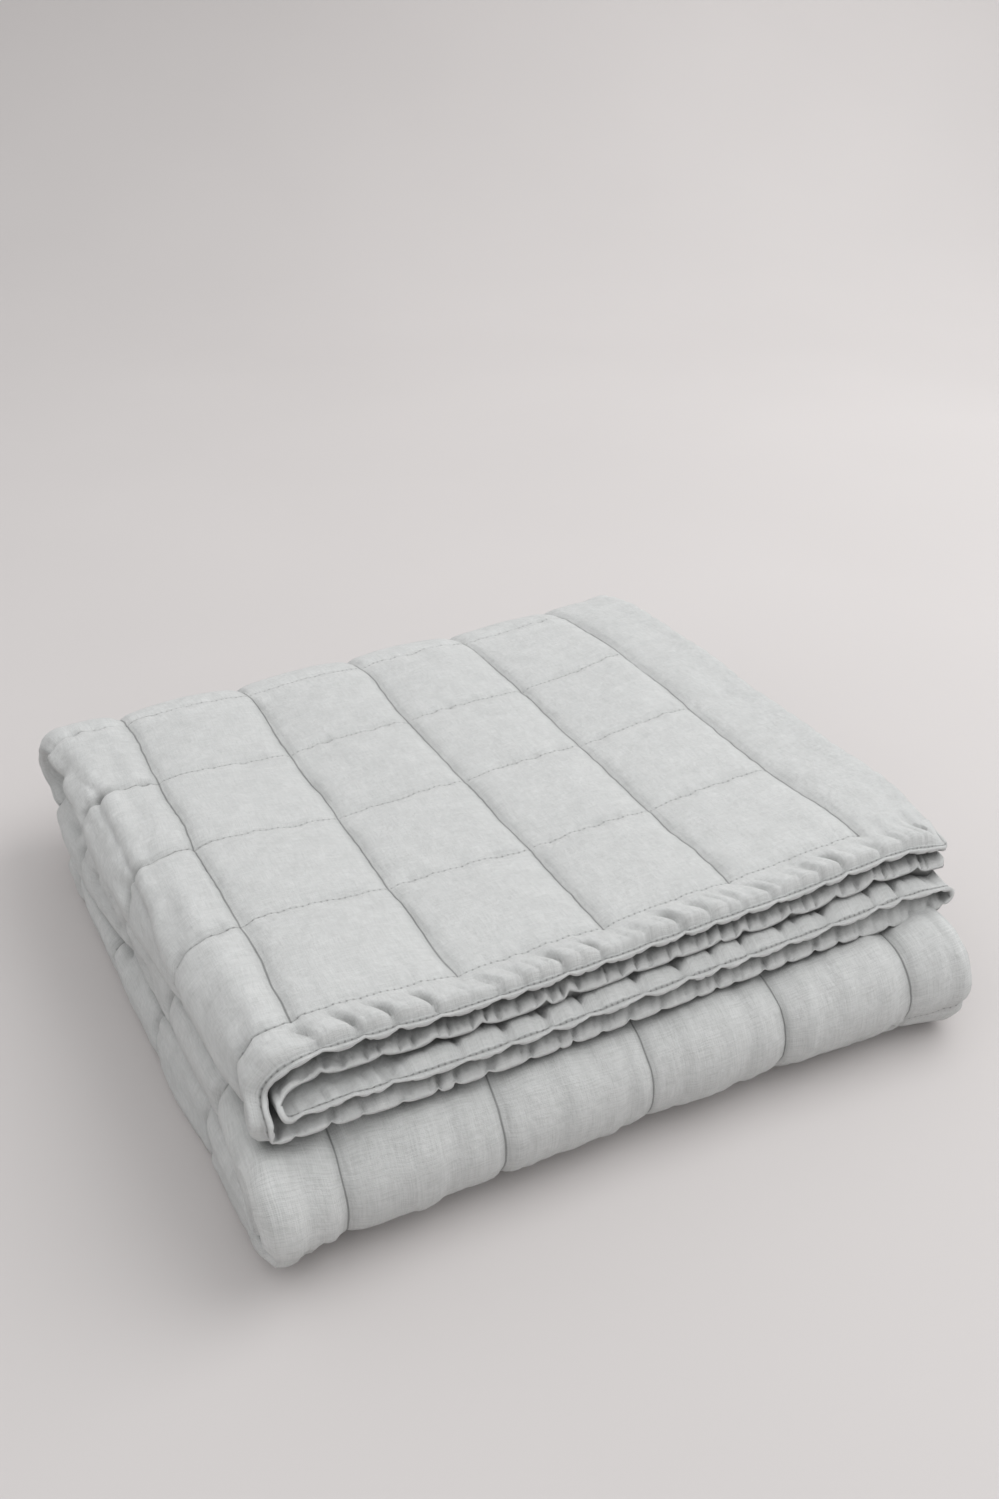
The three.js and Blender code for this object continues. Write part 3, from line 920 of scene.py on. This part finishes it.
def build_quilt(fold, relief):
    """The whole quilt as one closed mesh: both sides, joined round the hem, then folded"""
    bm = flat_sheet(fold, True)
    under = flat_sheet(fold, False)
    bmesh.ops.reverse_faces(under, faces=under.faces)
    carrier = bpy.data.meshes.new("reverse side")
    under.to_mesh(carrier)
    under.free()
    bm.from_mesh(carrier)
    bpy.data.meshes.remove(carrier)
    bmesh.ops.bridge_loops(bm, edges=[edge for edge in bm.edges if edge.is_boundary])
    bmesh.ops.recalc_face_normals(bm, faces=bm.faces)
    cloth = bm.loops.layers.uv.new("Cloth")
    for face in bm.faces:
        reverse = face.calc_center_median().z < -fold.half / 2
        for loop in face.loops:
            loop[cloth].uv = loop.vert.co.xy + Vector((REVERSE_AT if reverse else 0.0, 0.0))
    for vert in bm.verts:
        vert.co = relief.point(vert.co.x, vert.co.y, vert.co.z > 0)
    return bm


# Node helpers and shared effects

def new_group(name, inputs, outputs):
    """An empty shader group with named sockets"""
    group = bpy.data.node_groups.new(name, "ShaderNodeTree")
    for label, kind, value in inputs:
        socket = group.interface.new_socket(name=label, in_out="INPUT", socket_type=kind)
        if value is not None:
            socket.default_value = value
    for label, kind in outputs:
        group.interface.new_socket(name=label, in_out="OUTPUT", socket_type=kind)
    return group, group.nodes.new("NodeGroupInput"), group.nodes.new("NodeGroupOutput")


class Graph:
    """Adds nodes and links them in one call"""

    def __init__(self, tree):
        self.tree = tree

    def node(self, kind, *inputs, **settings):
        node = self.tree.nodes.new(kind)
        for name, value in settings.items():
            setattr(node, name, value)
        for index, value in enumerate(inputs):
            self.feed(node.inputs[index], value)
        return node

    def feed(self, socket, value):
        if value is None:
            return
        if isinstance(value, bpy.types.NodeSocket):
            self.tree.links.new(value, socket)
        else:
            socket.default_value = value

    def math(self, operation, *inputs):
        return self.node("ShaderNodeMath", *inputs, operation=operation).outputs[0]

    def noise(self, vector, scale, detail=2.0, roughness=0.5):
        node = self.node("ShaderNodeTexNoise")
        self.feed(node.inputs["Vector"], vector)
        self.feed(node.inputs["Scale"], scale)
        self.feed(node.inputs["Detail"], detail)
        self.feed(node.inputs["Roughness"], roughness)
        return node.outputs["Fac"]

    def stretch(self, vector, scale):
        node = self.node("ShaderNodeVectorMath", vector, scale, operation="MULTIPLY")
        return node.outputs[0]

    def span(self, value, low, high, start=0.0, end=1.0):
        node = self.node("ShaderNodeMapRange")
        self.feed(node.inputs["Value"], value)
        self.feed(node.inputs["From Min"], low)
        self.feed(node.inputs["From Max"], high)
        self.feed(node.inputs["To Min"], start)
        self.feed(node.inputs["To Max"], end)
        return node.outputs["Result"]

    def blend(self, share, a, b):
        node = self.node("ShaderNodeMix", data_type="RGBA")
        self.feed(node.inputs[0], share)
        self.feed(node.inputs[6], a)
        self.feed(node.inputs[7], b)
        return node.outputs[2]


def linen_weave_group():
    """Plain weave of uneven yarns on cloth coordinates in metres: its height and its shade"""
    group, given, out = new_group(
        "Linen weave",
        [("Cloth", "NodeSocketVector", None), ("Yarn", "NodeSocketFloat", 0.0006)],
        [("Height", "NodeSocketFloat"), ("Shade", "NodeSocketFloat")],
    )
    g = Graph(group)
    cloth = given.outputs["Cloth"]
    parts = g.node("ShaderNodeSeparateXYZ", cloth)
    bend = g.noise(cloth, YARN_WAVES[0])
    turns = g.math("DIVIDE", math.pi, given.outputs["Yarn"])
    bent_u = g.math("MULTIPLY_ADD", bend, YARN_WAVES[1], parts.outputs[0])
    bent_v = g.math("MULTIPLY_ADD", bend, YARN_WAVES[1], parts.outputs[1])
    warp = g.math("ABSOLUTE", g.math("SINE", g.math("MULTIPLY", bent_u, turns)))
    weft = g.math("ABSOLUTE", g.math("SINE", g.math("MULTIPLY", bent_v, turns)))
    yarns = g.math("MULTIPLY", warp, weft)
    thin, long = SLUB_STRETCH
    slub_u = g.noise(g.stretch(cloth, (thin, long, 1.0)), *SLUBS)
    slub_v = g.noise(g.stretch(cloth, (long, thin, 1.0)), *SLUBS)
    slubs = g.math("ADD", slub_u, slub_v)
    height = g.math("ADD", g.math("MULTIPLY", yarns, 0.5), g.math("MULTIPLY", slubs, 0.5))
    group.links.new(height, out.inputs["Height"])
    group.links.new(slubs, out.inputs["Shade"])
    return group


def seam_marks_group(fold, stitch):
    """Creases and needle holes along the seams and the topstitch, on cloth coordinates, as masks for their dents and
    their painted shade
    """
    group, given, out = new_group(
        "Seam marks",
        [("Cloth", "NodeSocketVector", None)],
        [("Crease", "NodeSocketFloat"), ("Holes", "NodeSocketFloat")],
    )
    g = Graph(group)
    parts = g.node("ShaderNodeSeparateXYZ", given.outputs["Cloth"])
    u = parts.outputs[0]
    v = parts.outputs[1]
    face = g.math("LESS_THAN", u, fold.width)

    def to_seam(value, margin, step, count):
        """Distance to the nearest seam line"""
        moved = g.math("SUBTRACT", value, margin)
        index = g.math("ROUND", g.math("DIVIDE", moved, step))
        index = g.math("MINIMUM", g.math("MAXIMUM", index, 0.0), float(count))
        return g.math("ABSOLUTE", g.math("SUBTRACT", moved, g.math("MULTIPLY", index, step)))

    def to_topstitch(value, total):
        """Distance to the topstitch along either edge"""
        rim = g.math("MINIMUM", value, g.math("SUBTRACT", total, value))
        return g.math("ABSOLUTE", g.math("SUBTRACT", rim, fold.flange))

    def inside(value, total, margin):
        """1 on the face between the outer two seams"""
        off = g.math("ABSOLUTE", g.math("SUBTRACT", value, total / 2))
        return g.math("MULTIPLY", g.math("LESS_THAN", off, total / 2 - margin + LINE_PAST), face)

    def dashes(value):
        """1 at the needle holes along a line"""
        turn = g.math("MULTIPLY", value, 2 * math.pi / stitch)
        return g.math("POWER", g.math("MULTIPLY_ADD", g.math("COSINE", turn), 0.5, 0.5), HOLE_SHARP)

    def line(distance, widths):
        """1 on a line, fading out between its two half widths"""
        return g.span(distance, *widths, 1.0, 0.0)

    near_u = to_seam(u, fold.side_border, fold.column, fold.columns)
    near_v = to_seam(v, fold.end_border, fold.row, fold.rows)
    inside_u = inside(u, fold.width, fold.side_border)
    inside_v = inside(v, fold.length, fold.end_border)
    edge_u = to_topstitch(u, fold.width)
    edge_v = to_topstitch(v, fold.length)
    long_line = g.math("MULTIPLY", line(near_u, LONG_LINE), inside_v)
    cross_line = g.math("MULTIPLY", line(near_v, CROSS_LINE), inside_u)
    hem_line = g.math("MAXIMUM", line(edge_u, HEM_LINE), line(edge_v, HEM_LINE))
    hem_line = g.math("MULTIPLY", hem_line, face)
    # A soft stripe of painted shade beside each long seam, which also dents the cloth a little
    seam_shade_stripe = g.math("MULTIPLY", g.math("MULTIPLY", line(near_u, SEAM_SHADE_STRIPE), SEAM_SHADE_SHARE), inside_v)
    bent = g.math("MULTIPLY", g.span(u, *BENT_SPAN[:2]), g.span(u, *BENT_SPAN[2:], 1.0, 0.0))
    cross_share = g.span(bent, 0.0, 1.0, *CROSS_SHARE)
    crease = g.math("MAXIMUM", long_line, seam_shade_stripe)
    crease = g.math("MAXIMUM", crease, g.math("MULTIPLY", cross_line, cross_share))
    crease = g.math("MAXIMUM", crease, g.math("MULTIPLY", hem_line, HEM_SHARE))
    cross_holes = g.math("MULTIPLY", cross_line, dashes(u))
    hem_u = g.math("MULTIPLY", g.math("MULTIPLY", line(edge_u, HEM_HOLES), dashes(v)), hem_line)
    hem_v = g.math("MULTIPLY", g.math("MULTIPLY", line(edge_v, HEM_HOLES), dashes(u)), hem_line)
    holes = g.math("MAXIMUM", cross_holes, g.math("MAXIMUM", hem_u, hem_v))
    group.links.new(crease, out.inputs["Crease"])
    group.links.new(holes, out.inputs["Holes"])
    return group


def rgba(colour, share=1.0):
    """A colour, or a share of it, as a shader takes it"""
    return (*(c * share for c in colour), 1.0)


def linen_material(fold, stitch, look):
    """Washed linen, woven on the cloth's own coordinates, with painted shade in its seams, needle holes and deep
    folds
    """
    material = bpy.data.materials.new("washed linen")
    material.use_nodes = True
    tree = material.node_tree
    shader = tree.nodes["Principled BSDF"]
    g = Graph(tree)
    cloth = g.node("ShaderNodeUVMap", uv_map="Cloth").outputs[0]
    weave = g.node("ShaderNodeGroup", node_tree=linen_weave_group())
    g.feed(weave.inputs["Cloth"], cloth)
    g.feed(weave.inputs["Yarn"], look.yarn)
    marks = g.node("ShaderNodeGroup", node_tree=seam_marks_group(fold, stitch))
    g.feed(marks.inputs["Cloth"], cloth)
    # Colours of the painted shade in creases, needle holes and deep folds
    painted_crease_shade_colour, painted_hole_shade_colour, painted_fold_shade_colour = (rgba(look.deep, share) for share in DARKEST)
    cloudy = g.noise(cloth, *CLOUDS)
    fine = g.noise(cloth, *SPECKS)
    tone = g.blend(g.span(cloudy, *CLOUD_SPAN), rgba(look.cloth), rgba(look.pale))
    along = g.node("ShaderNodeSeparateXYZ", cloth).outputs[1]
    # On the belly the yarns darken more: their own tone, with painted shade of the weave's relief added
    belly_weave_shade = g.math("MULTIPLY", g.span(along, *BELLY_WEAVE_SHADE_SPAN[:2]), g.span(along, *BELLY_WEAVE_SHADE_SPAN[2:], 1.0, 0.0))
    yarns = g.math("MULTIPLY", g.span(weave.outputs["Shade"], *SLUB_SPAN), g.span(belly_weave_shade, 0.0, 1.0, *SLUB_SHARE))
    tone = g.blend(yarns, tone, rgba(look.deep))
    tone = g.blend(g.span(fine, *SPECK_SPAN, 0.0, SPECK_SHARE), tone, rgba(look.deep))
    # Painted shade along the seams' lines and beside the long seams, then in the needle holes
    tone = g.blend(g.math("MULTIPLY", marks.outputs["Crease"], look.painted_crease_shade), tone, painted_crease_shade_colour)
    tone = g.blend(g.math("MULTIPLY", marks.outputs["Holes"], look.painted_hole_shade), tone, painted_hole_shade_colour)
    # Painted shade: the colour darkens towards the deep colour where other cloth lies near, in folds, gaps and
    # creases
    folds = g.node("ShaderNodeAmbientOcclusion", samples=4, only_local=True)
    g.feed(folds.inputs["Distance"], look.painted_fold_shade_reach)
    tone = g.blend(g.span(folds.outputs["AO"], *PAINTED_FOLD_SHADE_SPAN, look.painted_fold_shade, 0.0), tone, painted_fold_shade_colour)
    g.feed(shader.inputs["Base Color"], tone)
    g.feed(shader.inputs["Roughness"], g.span(fine, *ROUGH_SPAN, *ROUGHNESS))
    g.feed(shader.inputs["Specular IOR Level"], look.specular)
    g.feed(shader.inputs["Sheen Weight"], look.sheen)
    g.feed(shader.inputs["Sheen Roughness"], look.sheen_spread)
    height = g.math("MULTIPLY", weave.outputs["Height"], look.weave_height)
    height = g.math("MULTIPLY_ADD", g.noise(cloth, *CRINKLES), look.crinkle_height, height)
    height = g.math("MULTIPLY_ADD", marks.outputs["Crease"], -look.crease_depth, height)
    height = g.math("MULTIPLY_ADD", marks.outputs["Holes"], -look.hole_depth, height)
    bump = g.node("ShaderNodeBump")
    g.feed(bump.inputs["Strength"], 1.0)
    g.feed(bump.inputs["Distance"], 1.0)
    g.feed(bump.inputs["Height"], height)
    g.feed(shader.inputs["Normal"], bump.outputs[0])
    return material


def paper_material(colour):
    """Stage paper with a faint mottle"""
    material = bpy.data.materials.new("warm grey paper")
    material.use_nodes = True
    shader = material.node_tree.nodes["Principled BSDF"]
    g = Graph(material.node_tree)
    scale, pale = PAPER_MOTTLE
    mottle = g.span(g.noise(g.node("ShaderNodeTexCoord").outputs["Object"], scale), 0.3, 0.7)
    g.feed(shader.inputs["Base Color"], g.blend(mottle, rgba(colour), rgba(colour, pale)))
    g.feed(shader.inputs["Roughness"], PAPER_ROUGHNESS)
    return material


# Operators

class BEDSPREAD_OT_quilt(bpy.types.Operator):
    """Make the folded quilt"""

    bl_idname = "bedspread.quilt"
    bl_label = "Folded quilt"

    def execute(self, context):
        scene = context.scene
        fold = Fold(scene.quilt_sizes, scene.stack_sizes)
        relief = Relief(fold, scene.relief_sizes)
        bm = build_quilt(fold, relief)
        linen = linen_material(fold, scene.relief_sizes.stitch, scene.linen_look)
        piece = finish_mesh("folded_quilt", bm, [linen])
        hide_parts("quilt")
        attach(piece, "root")
        return {"FINISHED"}


class BEDSPREAD_OT_stage(bpy.types.Operator):
    """Make the floor, the lights and the camera"""

    bl_idname = "bedspread.stage"
    bl_label = "Floor, lights and camera"

    def execute(self, context):
        scene = context.scene
        bm = bmesh.new()
        bmesh.ops.create_grid(bm, x_segments=1, y_segments=PAPER_STRIPS, size=PAPER)
        for vert in bm.verts:
            run = vert.co.y - PAPER_BEND
            if run > 0:
                turn = min(run / PAPER_RADIUS, math.pi / 2)
                rest = run - turn * PAPER_RADIUS
                vert.co.y = PAPER_BEND + PAPER_RADIUS * math.sin(turn)
                vert.co.z = PAPER_RADIUS * (1 - math.cos(turn)) + max(rest, 0.0)
        heading = Matrix.Rotation(math.radians(PAPER_HEADING), 4, "Z")
        bmesh.ops.transform(bm, matrix=heading, verts=bm.verts)
        floor = finish_mesh("floor", bm, [paper_material(scene.linen_look.floor)])

        for light in LIGHTS:
            add_light(*light)
        world = bpy.data.worlds.new("studio")
        world.use_nodes = True
        sky = Graph(world.node_tree)
        background = world.node_tree.nodes["Background"]
        background.inputs["Color"].default_value = SKY_COLOUR
        direction = sky.node("ShaderNodeTexCoord").outputs["Generated"]
        rise = sky.node("ShaderNodeSeparateXYZ", direction).outputs[2]
        sky.feed(background.inputs["Strength"], sky.span(rise, *SKY_RISE, *SKY_STRENGTH))
        scene.world = world
        scene.view_settings.view_transform = "Standard"

        data = bpy.data.cameras.new("camera")
        data.sensor_width = SENSOR
        data.lens = LENS
        camera = bpy.data.objects.new("camera", data)
        context.collection.objects.link(camera)
        back = Vector(CAMERA_BACK)
        right = Vector(CAMERA_RIGHT)
        place = Matrix((right, back.cross(right), back)).transposed().to_4x4()
        place.translation = Vector(CAMERA_PLACE)
        camera.matrix_world = place
        scene.camera = camera
        return {"FINISHED"}


def add_light(name, place, target, size, power):
    """A large soft square light"""
    data = bpy.data.lights.new(name, "AREA")
    data.size = size
    data.energy = power
    light = bpy.data.objects.new(name, data)
    bpy.context.collection.objects.link(light)
    light.location = place
    aim = Vector(target) - Vector(place)
    light.rotation_euler = aim.to_track_quat("-Z", "Y").to_euler()


class BEDSPREAD_PT_panel(bpy.types.Panel):
    """Sizes, colours and buttons"""

    bl_idname = "BEDSPREAD_PT_panel"
    bl_label = "Folded bedspread"
    bl_space_type = "VIEW_3D"
    bl_region_type = "UI"
    bl_category = "Bedspread"

    def draw(self, context):
        scene = context.scene
        for group in (scene.quilt_sizes, scene.stack_sizes, scene.relief_sizes, scene.linen_look):
            box = self.layout.box()
            for name in group.__annotations__:
                box.prop(group, name)
        for operator in OPERATORS:
            self.layout.operator(operator.bl_idname)


OPERATORS = (BEDSPREAD_OT_quilt, BEDSPREAD_OT_stage)
GROUPS = {
    "quilt_sizes": QuiltSizes,
    "stack_sizes": StackSizes,
    "relief_sizes": ReliefSizes,
    "linen_look": LinenLook,
}


def register():
    for name, group in GROUPS.items():
        bpy.utils.register_class(group)
        setattr(bpy.types.Scene, name, PointerProperty(type=group))
    for cls in (*OPERATORS, BEDSPREAD_PT_panel):
        bpy.utils.register_class(cls)


def unregister():
    for cls in (BEDSPREAD_PT_panel, *OPERATORS):
        bpy.utils.unregister_class(cls)
    for name, group in GROUPS.items():
        delattr(bpy.types.Scene, name)
        bpy.utils.unregister_class(group)


def main():
    register()
    bpy.ops.bedspread.quilt()
    bpy.ops.bedspread.stage()


if __name__ == "__main__":
    main()
